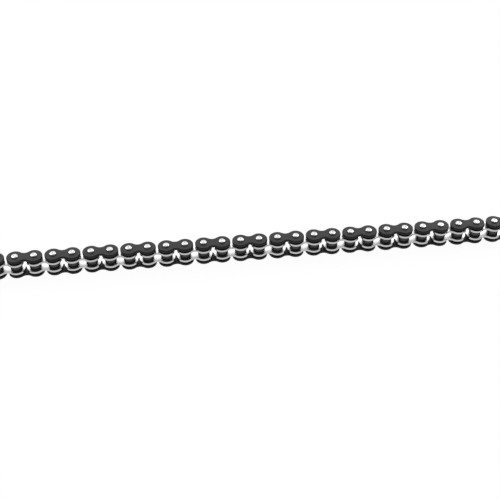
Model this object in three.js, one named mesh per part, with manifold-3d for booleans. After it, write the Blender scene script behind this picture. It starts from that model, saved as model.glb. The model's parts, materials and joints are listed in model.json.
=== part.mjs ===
// A straight strand of sealed roller chain, lying on its side with every pin upright.
// Millimetres, +Z up. X runs along the strand, Z along the pins, and the origin is the
// strand's centre, so the plane Z = 0 is the middle plane of the sprocket that drives it.
// Outer links and inner links take turns. An outer link is two plates riveted on two pins,
// an inner link is two plates pressed on two bushings, and a roller turns on each bushing.
import * as THREE from "three";
import { mergeVertices } from "three/addons/utils/BufferGeometryUtils.js";
import Module from "manifold-3d";

const wasm = await Module();
wasm.setup();

// Driving dimensions.
const PITCH = 15.875;
const OUTER_LINKS = 15;
const INNER_WIDTH = 6.35;
const INNER_PLATE = { thickness: 2.1, height: 14.6, waist: 8.7 };
const OUTER_PLATE = { thickness: 2.25, height: 14.4, waist: 9.0 };
const SEAL_GAP = 1.75;
const PIN_RADIUS = 2.6;
const PIN_PROTRUSION = 1.25;
const BUSHING_RADIUS = 3.55;
const ROLLER_RADIUS = 5.08;
const RUNNING_GAP = 0.08;
const ROLLER_END_GAP = 0.12;
const PRESS_GAP = 0.05;

// Facets of the round parts and of the plates' outlines.
const ROUND_SIDES = 12;
const HALF_ROUND_STEPS = 6;
const WAIST_STEPS = 3;

// Worked out from the driving dimensions.
const INNER_LINKS = OUTER_LINKS - 1;
const PINS = 2 * OUTER_LINKS;
const FLATS = Math.cos(Math.PI / ROUND_SIDES);
const PIN_BORE_RADIUS = (PIN_RADIUS + RUNNING_GAP) / FLATS;
const ROLLER_BORE_RADIUS = (BUSHING_RADIUS + RUNNING_GAP) / FLATS;
const INNER_FACE = INNER_WIDTH / 2;
const INNER_TOP = INNER_FACE + INNER_PLATE.thickness;
const OUTER_FACE = INNER_TOP + SEAL_GAP;
const OUTER_TOP = OUTER_FACE + OUTER_PLATE.thickness;
const PIN_END = OUTER_TOP + PIN_PROTRUSION;

// Finishes: blackened plates, bright nickel-plated plates, dark rollers and bright pins.
const metal = (color, roughness, metalness) =>
  new THREE.MeshStandardMaterial({ color, roughness, metalness });
const blackPlate = metal(0x3a3a3c, 0.45, 0.7);
const nickelPlate = metal(0xd6d3cc, 0.2, 1.0);
const darkSteel = metal(0x2a2b2d, 0.35, 0.9);
const brightSteel = metal(0xdedddb, 0.3, 1.0);

// Points on an arc about (x, y), from one angle to another, both ends included.
function arcPoints(x, y, radius, from, to, steps) {
  const points = [];
  for (let i = 0; i <= steps; i++) {
    const angle = from + ((to - from) * i) / steps;
    points.push(new THREE.Vector2(x + radius * Math.cos(angle), y + radius * Math.sin(angle)));
  }
  return points;
}

// A link plate's outline: a round end about each pin, joined by a hollow arc along each side.
// The plate is centred on the origin, and each hollow arc is tangent to both round ends.
function plateShape(height, waist) {
  const endRadius = height / 2;
  const halfWaist = waist / 2;
  const halfPitch = PITCH / 2;
  const hollowRadius =
    (halfPitch ** 2 + halfWaist ** 2 - endRadius ** 2) / (2 * (endRadius - halfWaist));
  const hollowHeight = halfWaist + hollowRadius;
  const tangent = Math.atan2(hollowHeight, halfPitch);
  const quarter = Math.PI / 2;
  const rightEnd = [
    ...arcPoints(halfPitch, 0, endRadius, tangent - Math.PI, -quarter, 1),
    ...arcPoints(halfPitch, 0, endRadius, -quarter, quarter, HALF_ROUND_STEPS).slice(1),
    ...arcPoints(halfPitch, 0, endRadius, quarter, Math.PI - tangent, 1).slice(1),
  ];
  const topHollow = arcPoints(0, hollowHeight, hollowRadius, -tangent, tangent - Math.PI, WAIST_STEPS);
  const half = [...rightEnd, ...topHollow.slice(1, -1)];
  const turned = half.map((point) => new THREE.Vector2(-point.x, -point.y));
  return new THREE.Shape([...half, ...turned]);
}

// A closed manifold-3d solid made from a three.js geometry.
function solid(geometry) {
  geometry.deleteAttribute("normal");
  geometry.deleteAttribute("uv");
  const merged = mergeVertices(geometry, 1e-4);
  return new wasm.Manifold(
    new wasm.Mesh({
      numProp: 3,
      vertProperties: merged.attributes.position.array,
      triVerts: new Uint32Array(merged.index.array),
    }),
  );
}

// A link plate whose lower face lies at z.
function plate(size, z) {
  const shape = plateShape(size.height, size.waist);
  const geometry = new THREE.ExtrudeGeometry(shape, { depth: size.thickness, bevelEnabled: false });
  geometry.translate(0, 0, z);
  return solid(geometry);
}

// A round bar upright at x, from z = low to z = high.
function bar(radius, x, low, high) {
  const profile = [[0, low], [radius, low], [radius, high], [0, high]];
  const points = profile.map(([r, z]) => new THREE.Vector2(r, z));
  const geometry = new THREE.LatheGeometry(points, ROUND_SIDES);
  geometry.rotateX(Math.PI / 2);
  geometry.translate(x, 0, 0);
  return solid(geometry);
}

// A named mesh from a manifold-3d solid, placed at x along the strand.
function meshOf(name, made, material, x) {
  const { vertProperties, triVerts } = made.getMesh();
  const geometry = new THREE.BufferGeometry();
  geometry.setAttribute("position", new THREE.BufferAttribute(vertProperties, 3));
  geometry.setIndex(new THREE.BufferAttribute(triVerts, 1));
  geometry.computeVertexNormals();
  const mesh = new THREE.Mesh(geometry, material);
  mesh.name = name;
  mesh.position.x = x;
  return mesh;
}

const numbered = (stem, number) => `${stem}_${String(number).padStart(2, "0")}`;
const pinX = (pin) => (pin - (PINS - 1) / 2) * PITCH;
const sides = [-PITCH / 2, PITCH / 2];

// Two outer plates and the two pins riveted in them, one solid.
function outerLink() {
  let link = plate(OUTER_PLATE, OUTER_FACE).add(plate(OUTER_PLATE, -OUTER_TOP));
  for (const x of sides) {
    link = link.add(bar(PIN_RADIUS, x, -PIN_END, PIN_END));
  }
  return link;
}

// Two inner plates and the two bushings pressed in them, bored for the pins, one solid.
function innerLink() {
  let link = plate(INNER_PLATE, INNER_FACE).add(plate(INNER_PLATE, -INNER_TOP));
  for (const x of sides) {
    link = link.add(bar(BUSHING_RADIUS, x, -INNER_TOP, INNER_TOP));
  }
  for (const x of sides) {
    link = link.subtract(bar(PIN_BORE_RADIUS, x, -PIN_END, PIN_END));
  }
  return link;
}

// A roller, free to turn on its bushing.
function roller() {
  const halfLength = INNER_FACE - ROLLER_END_GAP;
  const body = bar(ROLLER_RADIUS, 0, -halfLength, halfLength);
  return body.subtract(bar(ROLLER_BORE_RADIUS, 0, -PIN_END, PIN_END));
}

// An outer plate drilled for its two pins, whose lower face lies at z.
function drilledPlate(z) {
  let drilled = plate(OUTER_PLATE, z);
  for (const x of sides) {
    drilled = drilled.subtract(bar(PIN_RADIUS + PRESS_GAP, x, -PIN_END, PIN_END));
  }
  return drilled;
}

const group = new THREE.Group();

// Outer links from the -X end. The last is the connecting link, left as its four loose pieces.
const outerSolid = outerLink();
for (let link = 1; link < OUTER_LINKS; link++) {
  const x = pinX(2 * link - 2) + PITCH / 2;
  group.add(meshOf(numbered("outer_link", link), outerSolid, blackPlate, x));
}
const connectingX = pinX(PINS - 2) + PITCH / 2;
group.add(meshOf("connecting_plate_upper", drilledPlate(OUTER_FACE), blackPlate, connectingX));
group.add(meshOf("connecting_plate_lower", drilledPlate(-OUTER_TOP), blackPlate, connectingX));
const pinNames = ["connecting_pin_joined", "connecting_pin_free"];
for (let i = 0; i < sides.length; i++) {
  const pin = bar(PIN_RADIUS, sides[i], -PIN_END, PIN_END);
  group.add(meshOf(pinNames[i], pin, brightSteel, connectingX));
}

// Inner links, each between two outer links.
const innerSolid = innerLink();
for (let link = 1; link <= INNER_LINKS; link++) {
  const x = pinX(2 * link - 1) + PITCH / 2;
  group.add(meshOf(numbered("inner_link", link), innerSolid, nickelPlate, x));
}

// Rollers, one on each pin but the two free ones at the strand's ends.
const rollerSolid = roller();
for (let pin = 1; pin < PINS - 1; pin++) {
  group.add(meshOf(numbered("roller", pin), rollerSolid, darkSteel, pinX(pin)));
}

export default group;
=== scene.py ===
"""A straight strand of sealed roller chain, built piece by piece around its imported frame.

Metres, +Z up. X runs along the strand and the pins stand along Z. Pins are numbered 0 to 29
from the -X end. An outer link holds pins 0 and 1, 2 and 3, and so on; the inner links lie
between, on pins 1 and 2, 3 and 4, and so on. Each kind of piece is modelled once at x = 0 and
copied to its places, each copy with a mesh of its own.
"""
import json
import math

import bmesh
import bpy
from mathutils import Matrix, Vector


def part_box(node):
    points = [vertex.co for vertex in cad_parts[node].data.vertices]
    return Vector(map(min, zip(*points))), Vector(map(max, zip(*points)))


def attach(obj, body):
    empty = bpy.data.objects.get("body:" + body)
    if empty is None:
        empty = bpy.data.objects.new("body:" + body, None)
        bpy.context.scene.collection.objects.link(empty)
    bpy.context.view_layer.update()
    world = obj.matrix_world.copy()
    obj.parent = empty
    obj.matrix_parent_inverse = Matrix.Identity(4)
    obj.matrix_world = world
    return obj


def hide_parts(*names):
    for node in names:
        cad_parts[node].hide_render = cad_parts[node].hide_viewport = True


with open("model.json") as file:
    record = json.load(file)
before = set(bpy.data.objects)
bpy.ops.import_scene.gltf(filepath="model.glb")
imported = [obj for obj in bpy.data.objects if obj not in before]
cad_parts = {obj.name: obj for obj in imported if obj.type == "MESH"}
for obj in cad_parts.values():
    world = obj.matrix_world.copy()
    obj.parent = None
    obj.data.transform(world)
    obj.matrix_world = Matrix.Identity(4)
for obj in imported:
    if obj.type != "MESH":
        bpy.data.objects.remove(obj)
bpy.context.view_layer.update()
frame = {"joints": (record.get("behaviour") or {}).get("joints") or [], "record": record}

MM = 0.001

# Sizes that the frame holds.
joint_at = {joint["name"]: Vector(joint["pos_m"]) for joint in frame["joints"]}
mount_at = {mount["name"]: Vector(mount["pos_m"]) for mount in frame["record"]["mounts"]}
PITCH = joint_at["hinge_02"].x - joint_at["hinge_01"].x
HALF_PITCH = PITCH / 2
FIRST_PIN_X = mount_at["end_pin_minus_x"].x
LAST_PIN = round((mount_at["end_pin_plus_x"].x - FIRST_PIN_X) / PITCH)
LAST_OUTER_LINK = (LAST_PIN + 1) // 2

outer_low, outer_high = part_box("connecting_plate_upper")
OUTER_FACE = outer_low.z
OUTER_TOP = outer_high.z
OUTER_END_RADIUS = outer_high.y

inner_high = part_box("inner_link_01")[1]
INNER_TOP = inner_high.z
INNER_END_RADIUS = inner_high.y

pin_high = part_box("connecting_pin_free")[1]
PIN_END = pin_high.z
PIN_RADIUS = pin_high.y

roller_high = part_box("roller_01")[1]
ROLLER_HALF_LENGTH = roller_high.z
ROLLER_RADIUS = roller_high.y

# Sizes that the frame doesn't hold.
INNER_PLATE_THICKNESS = 2.1 * MM
INNER_FACE = INNER_TOP - INNER_PLATE_THICKNESS
OUTER_WAIST = 9.0 * MM
INNER_WAIST = 8.7 * MM
BUSHING_RADIUS = 3.55 * MM
PIN_HEAD_RADIUS = 2.8 * MM
PIN_HEAD_STANDOFF = 0.12 * MM
PIN_HEAD_FLARE = 0.1 * MM
RUNNING_GAP = 0.08 * MM
PRESS_GAP = 0.01 * MM
SEAL_END_GAP = 0.04 * MM
SEAL_BORE_GAP = 0.05 * MM

# How far each edge is rounded or chamfered.
OUTER_PLATE_DIE_ROLL = 0.7 * MM
OUTER_PLATE_BURR_SIDE = 0.15 * MM
INNER_PLATE_EDGE = 0.25 * MM
PLATE_BORE_EDGE = 0.18 * MM
BUSHING_EDGE = 0.15 * MM
ROLLER_EDGE = 0.4 * MM
ROLLER_BORE_EDGE = 0.2 * MM
PIN_HEAD_EDGE = 0.5 * MM

# Steps in a plate's round end, in its hollow side, and round a turned piece.
END_STEPS = 44
HOLLOW_STEPS = 12
ROUND_STEPS = 48

# How near counts as one point, as lying on a plane, and as lying on a circle of straight edges.
SAME_POINT = 0.001 * MM
ON_PLANE = 0.01 * MM
ON_CIRCLE = 0.03 * MM


# Making pieces by hand.


def start(add_primitive, **settings):
    """Adds a primitive alone, and leaves it in edit mode with all of it selected."""
    bpy.ops.object.select_all(action="DESELECT")
    add_primitive(**settings)
    piece = bpy.context.object
    bpy.ops.object.transform_apply(location=True, rotation=True, scale=True)
    bpy.ops.object.mode_set(mode="EDIT")
    bpy.ops.mesh.select_mode(type="VERT")
    bpy.ops.mesh.select_all(action="SELECT")
    return piece


def pick(piece, kind, wanted):
    """Selects, in edit mode, the vertices, edges or faces whose middle and normal are wanted."""
    bpy.ops.mesh.select_mode(type=kind)
    bpy.ops.mesh.select_all(action="DESELECT")
    shape = bmesh.from_edit_mesh(piece.data)
    for item in {"VERT": shape.verts, "EDGE": shape.edges, "FACE": shape.faces}[kind]:
        corners = [item] if kind == "VERT" else item.verts
        middle = sum((corner.co for corner in corners), Vector()) / len(corners)
        facing = item.normal if kind == "FACE" else corners[0].normal
        if wanted(middle, facing):
            item.select_set(True)
    shape.select_flush_mode()
    bmesh.update_edit_mesh(piece.data)


def apply_modifier(piece, kind, **settings):
    """Adds a modifier in object mode, sets it and applies it."""
    bpy.ops.object.select_all(action="DESELECT")
    bpy.context.view_layer.objects.active = piece
    piece.select_set(True)
    modifier = piece.modifiers.new(kind.title(), kind)
    for name, value in settings.items():
        setattr(modifier, name, value)
    bpy.ops.object.modifier_apply(modifier=modifier.name)


def finish_shape(piece, smooth_below=35):
    """Turns the faces outwards and shades what is round smoothly, with the flats kept flat."""
    bpy.ops.mesh.select_all(action="SELECT")
    bpy.ops.mesh.remove_doubles(threshold=SAME_POINT)
    bpy.ops.mesh.normals_make_consistent(inside=False)
    bpy.ops.object.mode_set(mode="OBJECT")
    bpy.ops.object.shade_smooth_by_angle(angle=math.radians(smooth_below))
    apply_modifier(piece, "WEIGHTED_NORMAL", keep_sharp=True, weight=100)


def round_edges(piece, wanted, width, segments):
    """Rounds the wanted edges."""
    pick(piece, "EDGE", wanted)
    bpy.ops.mesh.bevel(offset=width, segments=segments, profile=0.5, affect="EDGES")


def bore(piece, radius, x):
    """Cuts a round upright hole right through a piece, from object mode."""
    cutter = start(
        bpy.ops.mesh.primitive_cylinder_add,
        vertices=ROUND_STEPS,
        radius=radius,
        depth=4 * PIN_END,
        location=(x, 0, 0),
    )
    bpy.ops.object.mode_set(mode="OBJECT")
    apply_modifier(piece, "BOOLEAN", operation="DIFFERENCE", solver="EXACT", object=cutter)
    bpy.data.objects.remove(cutter)


def off_circle(middle, radius, x=0):
    """How far a point is from the upright cylinders of a radius that stand at x and at -x."""
    return abs(math.hypot(abs(middle.x) - x, middle.y) - radius)


# The pieces, each at x = 0.


def link_plate(end_radius, waist, low, high, bore_radius, upper_edge, lower_edge):
    """A fine-blanked plate: round ends, hollow sides and two bores.

    The outline is one vertex spun round the right pin, the upper hollow, the left pin and the
    lower hollow. upper_edge and lower_edge are how far the outline's edges are rounded.
    """
    half_waist = waist / 2
    corner = HALF_PITCH**2 + half_waist**2 - end_radius**2
    hollow_radius = corner / (2 * (end_radius - half_waist))
    hollow_height = half_waist + hollow_radius
    tangent = math.atan2(hollow_height, HALF_PITCH)
    first = (
        HALF_PITCH - end_radius * math.cos(tangent),
        -end_radius * math.sin(tangent),
        low,
    )
    piece = start(bpy.ops.mesh.primitive_plane_add, size=end_radius, location=first)
    bpy.ops.mesh.merge(type="CENTER")
    end_turn = 2 * (math.pi - tangent)
    hollow_turn = 2 * tangent - math.pi
    turns = [
        (END_STEPS, end_turn, (HALF_PITCH, 0)),
        (HOLLOW_STEPS, hollow_turn, (0, hollow_height)),
        (END_STEPS, end_turn, (-HALF_PITCH, 0)),
        (HOLLOW_STEPS, hollow_turn, (0, -hollow_height)),
    ]
    for steps, angle, (x, y) in turns:
        bpy.ops.mesh.spin(steps=steps, angle=-angle, center=(x, y, low), axis=(0, 0, 1))
    bpy.ops.mesh.select_all(action="SELECT")
    bpy.ops.mesh.remove_doubles(threshold=SAME_POINT)
    bpy.ops.mesh.edge_face_add()
    bpy.ops.mesh.extrude_region_move(TRANSFORM_OT_translate={"value": (0, 0, high - low)})
    bpy.ops.mesh.select_all(action="SELECT")
    bpy.ops.mesh.normals_make_consistent(inside=False)
    round_edges(piece, lambda middle, facing: abs(middle.z - high) < ON_PLANE, upper_edge, 4)
    round_edges(piece, lambda middle, facing: abs(middle.z - low) < ON_PLANE, lower_edge, 2)
    bpy.ops.object.mode_set(mode="OBJECT")
    for x in (-HALF_PITCH, HALF_PITCH):
        bore(piece, bore_radius, x)
    bpy.context.view_layer.objects.active = piece
    bpy.ops.object.mode_set(mode="EDIT")

    def on_bore_mouth(middle, facing):
        at_face = min(abs(middle.z - high), abs(middle.z - low)) < ON_PLANE
        return at_face and off_circle(middle, bore_radius, HALF_PITCH) < ON_CIRCLE

    round_edges(piece, on_bore_mouth, PLATE_BORE_EDGE, 1)
    finish_shape(piece)
    return piece


def tube(radius, bore_radius, half_length, outer_edge, bore_edge):
    """A turned tube: a cylinder whose end faces are inset and bridged through."""
    piece = start(
        bpy.ops.mesh.primitive_cylinder_add,
        vertices=ROUND_STEPS,
        radius=radius,
        depth=2 * half_length,
    )
    pick(piece, "FACE", lambda middle, facing: abs(facing.z) > 0.9)
    bpy.ops.mesh.inset(thickness=radius - bore_radius)
    bpy.ops.mesh.bridge_edge_loops()

    def on_rim(middle, rim):
        return off_circle(middle, rim) < ON_CIRCLE and half_length - abs(middle.z) < ON_PLANE

    round_edges(piece, lambda middle, facing: on_rim(middle, radius), outer_edge, 3)
    round_edges(piece, lambda middle, facing: on_rim(middle, bore_radius), bore_edge, 2)
    finish_shape(piece)
    return piece


def riveted_pin():
    """A ground pin: each end is spun over into a crowned head with a ring and a centre mark."""
    shank_end = OUTER_TOP + PIN_HEAD_STANDOFF
    flare_end = shank_end + PIN_HEAD_FLARE
    spread = PIN_HEAD_RADIUS / PIN_RADIUS
    # Each step is how far in from the last ring and how far up, in millimetres: three for the
    # crown, then the shallow ring that the tool leaves, then the centre mark.
    crown = [(0.7, 0.2), (0.6, 0.08), (0.5, 0.04)]
    tool_marks = [(0.15, -0.05), (0.45, -0.25)]
    rim_height = PIN_END - sum(up for across, up in crown) * MM
    piece = start(
        bpy.ops.mesh.primitive_cylinder_add,
        vertices=ROUND_STEPS,
        radius=PIN_RADIUS,
        depth=2 * shank_end,
    )
    for side in (1, -1):
        flare = (0, 0, PIN_HEAD_FLARE * side)
        rise = (0, 0, (rim_height - flare_end) * side)
        pick(piece, "FACE", lambda middle, facing: middle.z * side > shank_end - ON_PLANE)
        bpy.ops.mesh.extrude_region_move(TRANSFORM_OT_translate={"value": flare})
        bpy.ops.transform.resize(value=(spread, spread, 1), center_override=(0, 0, 0))
        bpy.ops.mesh.extrude_region_move(TRANSFORM_OT_translate={"value": rise})
        for across, up in crown + tool_marks:
            bpy.ops.mesh.inset(thickness=across * MM, depth=up * MM)

    def on_head_rim(middle, facing):
        at_rim = abs(abs(middle.z) - rim_height) < ON_PLANE
        return at_rim and off_circle(middle, PIN_HEAD_RADIUS) < ON_CIRCLE

    round_edges(piece, on_head_rim, PIN_HEAD_EDGE, 5)
    finish_shape(piece)
    return piece


def seal_ring():
    """A four-lobed rubber ring in the gap between an inner and an outer plate."""
    section = (OUTER_FACE - INNER_TOP) / 2 - SEAL_END_GAP
    across = BUSHING_RADIUS + SEAL_BORE_GAP + section
    height = (OUTER_FACE + INNER_TOP) / 2
    groove_depth = 0.22 * section
    piece = start(
        bpy.ops.mesh.primitive_torus_add,
        major_segments=ROUND_STEPS,
        minor_segments=16,
        major_radius=across,
        minor_radius=section,
        location=(0, 0, height),
    )

    def in_groove(middle, facing):
        along = math.hypot(middle.x, middle.y) - across
        return min(abs(along), abs(middle.z - height)) < 0.05 * section

    pick(piece, "VERT", in_groove)
    bpy.ops.transform.shrink_fatten(value=-groove_depth)
    finish_shape(piece, smooth_below=60)
    return piece


# Materials.


def linear(hex_colour):
    """An sRGB hex colour as the linear RGBA that shaders take."""
    parts = [int(hex_colour[i : i + 2], 16) / 255 for i in (1, 3, 5)]
    return [c / 12.92 if c <= 0.04045 else ((c + 0.055) / 1.055) ** 2.4 for c in parts] + [1.0]


def add(tree, kind, settings=None, links=None):
    """Adds a node, sets its properties and sockets, and links the sockets given as outputs."""
    made = tree.nodes.new(kind)
    for name, value in (settings or {}).items():
        setattr(made, name, value)
    for name, value in (links or {}).items():
        if isinstance(value, bpy.types.NodeSocket):
            tree.links.new(value, made.inputs[name])
        else:
            made.inputs[name].default_value = value
    return made


def new_material(name):
    """An empty node material and its tree."""
    material = bpy.data.materials.new(name)
    material.use_nodes = True
    material.node_tree.nodes.clear()
    return material, material.node_tree


def grains(size):
    """The scale of a texture whose grains are this size."""
    return 1 / size


# Sockets of a Mix node that mixes colours, by their places.
MIX_FACTOR = 0
MIX_A = 6
MIX_B = 7
MIXED = 2


def blackened_plate_steel():
    """Carbon steel, fine-blanked, shot-peened and black-oxidised.

    To the eye: an even charcoal, finely dented and faintly mottled, with a soft satin sheen.
    """
    material, tree = new_material("black_oxide_peened_steel")
    place_on = add(tree, "ShaderNodeTexCoord").outputs["Object"]
    # The peening dents are 0.4 mm across; they are drawn deeper than real so that they show.
    dents = add(
        tree,
        "ShaderNodeTexVoronoi",
        {"feature": "SMOOTH_F1"},
        {"Vector": place_on, "Scale": grains(0.4 * MM), "Smoothness": 0.6},
    )
    # The oxide's crystals can't be seen; the mottling is drawn at 1.2 mm so that it shows.
    mottling = add(
        tree,
        "ShaderNodeTexNoise",
        links={"Vector": place_on, "Scale": grains(1.2 * MM), "Detail": 3.0, "Roughness": 0.6},
    )
    patches = add(
        tree,
        "ShaderNodeMapRange",
        links={"Value": mottling.outputs["Fac"], "From Min": 0.35, "From Max": 0.65},
    )
    colour = add(
        tree,
        "ShaderNodeMix",
        {"data_type": "RGBA"},
        {
            MIX_FACTOR: patches.outputs["Result"],
            MIX_A: linear("#151515"),
            MIX_B: linear("#2b2b2b"),
        },
    )
    rough = add(
        tree,
        "ShaderNodeMapRange",
        links={"Value": patches.outputs["Result"], "To Min": 0.5, "To Max": 0.72},
    )
    bump = add(
        tree,
        "ShaderNodeBump",
        links={"Height": dents.outputs["Distance"], "Strength": 1.0, "Distance": 0.06 * MM},
    )
    shader = add(
        tree,
        "ShaderNodeBsdfPrincipled",
        links={
            "Base Color": colour.outputs[MIXED],
            "Roughness": rough.outputs["Result"],
            "Normal": bump.outputs["Normal"],
            "IOR": 1.5,
        },
    )
    add(tree, "ShaderNodeOutputMaterial", links={"Surface": shader.outputs["BSDF"]})
    return material


def bright_nickel():
    """Bright nickel plating over a tumbled plate.

    To the eye: near-white where it faces the light, mirror-dark beside the rollers.
    """
    material, tree = new_material("bright_nickel_plating")
    place_on = add(tree, "ShaderNodeTexCoord").outputs["Object"]
    haze = add(
        tree,
        "ShaderNodeTexNoise",
        links={"Vector": place_on, "Scale": grains(2.4 * MM), "Detail": 4.0, "Roughness": 0.55},
    )
    colour = add(
        tree,
        "ShaderNodeMix",
        {"data_type": "RGBA"},
        {
            MIX_FACTOR: haze.outputs["Fac"],
            MIX_A: linear("#e6e6e6"),
            MIX_B: linear("#f6f6f5"),
        },
    )
    rough = add(
        tree,
        "ShaderNodeMapRange",
        links={"Value": haze.outputs["Fac"], "To Min": 0.2, "To Max": 0.34},
    )
    # Tumbling scratches are 0.05 mm wide; they are drawn at 0.25 mm so that they show.
    scratches = add(
        tree,
        "ShaderNodeTexNoise",
        links={"Vector": place_on, "Scale": grains(0.25 * MM), "Detail": 2.0},
    )
    bump = add(
        tree,
        "ShaderNodeBump",
        links={"Height": scratches.outputs["Fac"], "Strength": 0.12, "Distance": 0.01 * MM},
    )
    shader = add(
        tree,
        "ShaderNodeBsdfPrincipled",
        links={
            "Base Color": colour.outputs[MIXED],
            "Metallic": 1.0,
            "Roughness": rough.outputs["Result"],
            "Normal": bump.outputs["Normal"],
        },
    )
    add(tree, "ShaderNodeOutputMaterial", links={"Surface": shader.outputs["BSDF"]})
    return material


def oiled_roller_steel():
    """Case-hardened alloy steel, centreless ground, dark from heat treatment and oiled.

    To the eye: a deep grey cylinder with fine hoops and a soft upright highlight.
    """
    material, tree = new_material("heat_treated_roller_steel")
    place_on = add(tree, "ShaderNodeTexCoord").outputs["Object"]
    # Grinding hoops are 0.05 mm apart; they are drawn 0.3 mm apart so that they show.
    stretched = add(
        tree,
        "ShaderNodeMapping",
        links={"Vector": place_on, "Scale": (0.05, 0.05, 1.0)},
    )
    hoops = add(
        tree,
        "ShaderNodeTexNoise",
        links={"Vector": stretched.outputs["Vector"], "Scale": grains(0.3 * MM), "Detail": 2.0},
    )
    stain = add(
        tree,
        "ShaderNodeTexNoise",
        links={"Vector": place_on, "Scale": grains(3.0 * MM), "Detail": 3.0},
    )
    colour = add(
        tree,
        "ShaderNodeMix",
        {"data_type": "RGBA"},
        {
            MIX_FACTOR: stain.outputs["Fac"],
            MIX_A: linear("#464647"),
            MIX_B: linear("#666667"),
        },
    )
    rough = add(
        tree,
        "ShaderNodeMapRange",
        links={"Value": hoops.outputs["Fac"], "To Min": 0.26, "To Max": 0.42},
    )
    bump = add(
        tree,
        "ShaderNodeBump",
        links={"Height": hoops.outputs["Fac"], "Strength": 0.15, "Distance": 0.01 * MM},
    )
    shader = add(
        tree,
        "ShaderNodeBsdfPrincipled",
        links={
            "Base Color": colour.outputs[MIXED],
            "Metallic": 1.0,
            "Roughness": rough.outputs["Result"],
            "Normal": bump.outputs["Normal"],
        },
    )
    add(tree, "ShaderNodeOutputMaterial", links={"Surface": shader.outputs["BSDF"]})
    return material


def ground_pin_steel():
    """Ground alloy steel, left bright, its ends spun over by the rivet tool.

    To the eye: a small white disc, unevenly polished, with a dark rim.
    """
    material, tree = new_material("ground_pin_steel")
    place_on = add(tree, "ShaderNodeTexCoord").outputs["Object"]
    polish = add(
        tree,
        "ShaderNodeTexNoise",
        links={"Vector": place_on, "Scale": grains(0.6 * MM), "Detail": 3.0},
    )
    colour = add(
        tree,
        "ShaderNodeMix",
        {"data_type": "RGBA"},
        {
            MIX_FACTOR: polish.outputs["Fac"],
            MIX_A: linear("#b6b6b5"),
            MIX_B: linear("#e0e0df"),
        },
    )
    rough = add(
        tree,
        "ShaderNodeMapRange",
        links={"Value": polish.outputs["Fac"], "To Min": 0.16, "To Max": 0.3},
    )
    shader = add(
        tree,
        "ShaderNodeBsdfPrincipled",
        links={
            "Base Color": colour.outputs[MIXED],
            "Metallic": 1.0,
            "Roughness": rough.outputs["Result"],
        },
    )
    add(tree, "ShaderNodeOutputMaterial", links={"Surface": shader.outputs["BSDF"]})
    return material


def seal_rubber():
    """Nitrile rubber, moulded and greased.

    To the eye: black with a wet, uneven shine.
    """
    material, tree = new_material("greased_nitrile_rubber")
    place_on = add(tree, "ShaderNodeTexCoord").outputs["Object"]
    grease = add(
        tree,
        "ShaderNodeTexNoise",
        links={"Vector": place_on, "Scale": grains(1.2 * MM), "Detail": 2.0},
    )
    colour = add(
        tree,
        "ShaderNodeMix",
        {"data_type": "RGBA"},
        {
            MIX_FACTOR: grease.outputs["Fac"],
            MIX_A: linear("#0c0c0c"),
            MIX_B: linear("#171716"),
        },
    )
    rough = add(
        tree,
        "ShaderNodeMapRange",
        links={"Value": grease.outputs["Fac"], "To Min": 0.3, "To Max": 0.6},
    )
    shader = add(
        tree,
        "ShaderNodeBsdfPrincipled",
        links={
            "Base Color": colour.outputs[MIXED],
            "Roughness": rough.outputs["Result"],
        },
    )
    add(tree, "ShaderNodeOutputMaterial", links={"Surface": shader.outputs["BSDF"]})
    return material


# Camera, floor and light.

RENDER_SIZE = 500
SENSOR_WIDTH_MM = 36
FOCAL_LENGTH_PIXELS = 1023
CAMERA_AZIMUTH = math.radians(-6.37)
CAMERA_ELEVATION = math.radians(42.48)
CAMERA_DISTANCE = 0.88
CAMERA_AIM = Vector((0.0, -1.6 * MM, -1.7 * MM))

FLOOR_SIZE = 12
FLOOR_GLOW = 0.97

SKY_IN_FRONT = 0.08
SKY_BEHIND = 1.4
GROUND_LIGHT = 0.6
BACKDROP = 1.0

SOFTBOX_SIZE = 0.9
SOFTBOX_WATTS = 8
SOFTBOX_PLACES = [Vector((-1.0, 0.7, 1.05)), Vector((1.0, 0.7, 1.05))]


def make_camera():
    """The camera above and in front of the strand, nearer to its -X end."""
    back = Vector(
        (
            math.sin(CAMERA_AZIMUTH) * math.cos(CAMERA_ELEVATION),
            -math.cos(CAMERA_AZIMUTH) * math.cos(CAMERA_ELEVATION),
            math.sin(CAMERA_ELEVATION),
        )
    )
    camera = bpy.data.objects.new("camera", bpy.data.cameras.new("camera"))
    bpy.context.scene.collection.objects.link(camera)
    camera.data.sensor_width = SENSOR_WIDTH_MM
    camera.data.lens = FOCAL_LENGTH_PIXELS * SENSOR_WIDTH_MM / RENDER_SIZE
    camera.location = CAMERA_AIM + back * CAMERA_DISTANCE
    camera.rotation_mode = "QUATERNION"
    camera.rotation_quaternion = (-back).to_track_quat("-Z", "Y")
    bpy.context.scene.camera = camera


def make_floor():
    """A white floor at the height of the lower pin ends, evenly bright under the chain.

    It throws no light back, so the chain's sides stay as dark as the sky in front leaves them.
    """
    place = (0, 0, -PIN_END)
    floor = start(bpy.ops.mesh.primitive_plane_add, size=FLOOR_SIZE, location=place)
    bpy.ops.object.mode_set(mode="OBJECT")
    floor.name = "floor"
    material, tree = new_material("white_paper")
    shader = add(
        tree,
        "ShaderNodeBsdfPrincipled",
        links={
            "Base Color": linear("#3c3c3c"),
            "Roughness": 0.9,
            "Specular IOR Level": 0.0,
            "Emission Color": linear("#ffffff"),
            "Emission Strength": FLOOR_GLOW,
        },
    )
    add(tree, "ShaderNodeOutputMaterial", links={"Surface": shader.outputs["BSDF"]})
    floor.data.materials.append(material)
    floor.visible_glossy = False
    floor.visible_diffuse = False


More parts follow.
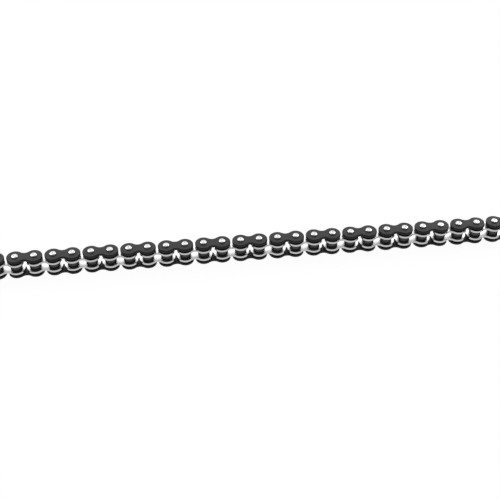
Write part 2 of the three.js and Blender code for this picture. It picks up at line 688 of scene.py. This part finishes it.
def make_sky():
    """A sky that is bright behind and dim in front, over a ground of middling light."""
    world = bpy.data.worlds.new("studio")
    bpy.context.scene.world = world
    world.use_nodes = True
    tree = world.node_tree
    tree.nodes.clear()
    direction = add(tree, "ShaderNodeTexCoord").outputs["Generated"]
    axes = add(tree, "ShaderNodeSeparateXYZ", links={"Vector": direction})
    sky = add(
        tree,
        "ShaderNodeMapRange",
        {"interpolation_type": "SMOOTHSTEP"},
        {
            "Value": axes.outputs["Y"],
            "From Min": 0.1,
            "From Max": 0.62,
            "To Min": SKY_IN_FRONT,
            "To Max": SKY_BEHIND,
        },
    )
    glow = add(
        tree,
        "ShaderNodeMapRange",
        {"interpolation_type": "SMOOTHSTEP"},
        {
            "Value": axes.outputs["Z"],
            "From Min": -0.35,
            "From Max": 0.4,
            "To Min": GROUND_LIGHT,
            "To Max": sky.outputs["Result"],
        },
    )
    # The backdrop that the camera sees is one even white, whatever the light behind it.
    seen = add(tree, "ShaderNodeLightPath").outputs["Is Camera Ray"]
    strength = add(tree, "ShaderNodeMix", links={0: seen, 2: glow.outputs["Result"], 3: BACKDROP})
    background = add(
        tree,
        "ShaderNodeBackground",
        links={"Color": linear("#ffffff"), "Strength": strength.outputs[0]},
    )
    add(tree, "ShaderNodeOutputWorld", links={"Surface": background.outputs["Background"]})


def make_softbox(place):
    """A square lamp that faces the strand's centre."""
    lamp = bpy.data.lights.new("softbox", "AREA")
    lamp.size = SOFTBOX_SIZE
    lamp.energy = SOFTBOX_WATTS
    softbox = bpy.data.objects.new("softbox", lamp)
    bpy.context.scene.collection.objects.link(softbox)
    softbox.location = place
    softbox.rotation_mode = "QUATERNION"
    softbox.rotation_quaternion = (-place).to_track_quat("-Z", "Y")
    softbox.visible_camera = False


make_camera()
make_floor()
make_sky()
for softbox_place in SOFTBOX_PLACES:
    make_softbox(softbox_place)
bpy.context.scene.view_settings.view_transform = "Standard"


# The patterns: one of each kind of piece, in its finish.

outer_plate = link_plate(
    OUTER_END_RADIUS,
    OUTER_WAIST,
    OUTER_FACE,
    OUTER_TOP,
    PIN_RADIUS + PRESS_GAP,
    OUTER_PLATE_DIE_ROLL,
    OUTER_PLATE_BURR_SIDE,
)
inner_plate = link_plate(
    INNER_END_RADIUS,
    INNER_WAIST,
    INNER_FACE,
    INNER_TOP,
    BUSHING_RADIUS + PRESS_GAP,
    INNER_PLATE_EDGE,
    INNER_PLATE_EDGE,
)
pin = riveted_pin()
bushing = tube(BUSHING_RADIUS, PIN_RADIUS + RUNNING_GAP, INNER_TOP, BUSHING_EDGE, BUSHING_EDGE)
roller = tube(
    ROLLER_RADIUS,
    BUSHING_RADIUS + RUNNING_GAP,
    ROLLER_HALF_LENGTH,
    ROLLER_EDGE,
    ROLLER_BORE_EDGE,
)
seal = seal_ring()

nickel = bright_nickel()
finishes = [
    (outer_plate, blackened_plate_steel(), "black_plate"),
    (inner_plate, nickel, "nickel_plate"),
    (pin, ground_pin_steel(), "pin_steel"),
    (bushing, nickel, "nickel_plate"),
    (roller, oiled_roller_steel(), "roller_steel"),
    (seal, seal_rubber(), "seal_rubber"),
]
for pattern, material, slot in finishes:
    pattern.data.materials.append(material)


# The strand.

UPRIGHT = Matrix.Identity(4)
TURNED_OVER = Matrix.Rotation(math.pi, 4, "X")


def pin_x(number):
    """Where a pin stands along the strand."""
    return FIRST_PIN_X + number * PITCH


def place(pattern, name, x, body, replaced=None, turn=UPRIGHT):
    """Copies a pattern to x, turned over where it is a lower piece, and fixes it to its body."""
    piece = pattern.copy()
    piece.data = pattern.data.copy()
    piece.name = name
    piece.data.name = name
    piece.data.transform(Matrix.Translation((x, 0, 0)) @ turn)
    bpy.context.scene.collection.objects.link(piece)
    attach(piece, body)
    if replaced:
        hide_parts(replaced)
    return piece


# Outer links. The last is the connecting link, whose four pieces have nodes of their own.
for link in range(1, LAST_OUTER_LINK + 1):
    x = pin_x(2 * link - 2) + HALF_PITCH
    body = f"outer_link_{link:02d}"
    upper_node = lower_node = left_pin_node = right_pin_node = body
    if link == LAST_OUTER_LINK:
        body = "connecting_link"
        upper_node = "connecting_plate_upper"
        lower_node = "connecting_plate_lower"
        left_pin_node = "connecting_pin_joined"
        right_pin_node = "connecting_pin_free"
    place(outer_plate, f"outer_plate_upper_{link:02d}", x, body, upper_node)
    place(outer_plate, f"outer_plate_lower_{link:02d}", x, body, lower_node, TURNED_OVER)
    for number, node in ((2 * link - 2, left_pin_node), (2 * link - 1, right_pin_node)):
        place(pin, f"pin_{number:02d}", pin_x(number), body, node)

# Inner links, with a roller on each of their bushings.
for link in range(1, LAST_OUTER_LINK):
    body = f"inner_link_{link:02d}"
    x = pin_x(2 * link - 1) + HALF_PITCH
    place(inner_plate, f"inner_plate_upper_{link:02d}", x, body, body)
    place(inner_plate, f"inner_plate_lower_{link:02d}", x, body, body, TURNED_OVER)
    for number in (2 * link - 1, 2 * link):
        x = pin_x(number)
        place(bushing, f"bushing_{number:02d}", x, body, body)
        place(seal, f"seal_ring_upper_{number:02d}", x, body)
        place(seal, f"seal_ring_lower_{number:02d}", x, body, turn=TURNED_OVER)
        roller_body = f"roller_{number:02d}"
        place(roller, f"hardened_roller_{number:02d}", x, roller_body, roller_body)

for pattern, material, slot in finishes:
    bpy.data.objects.remove(pattern)
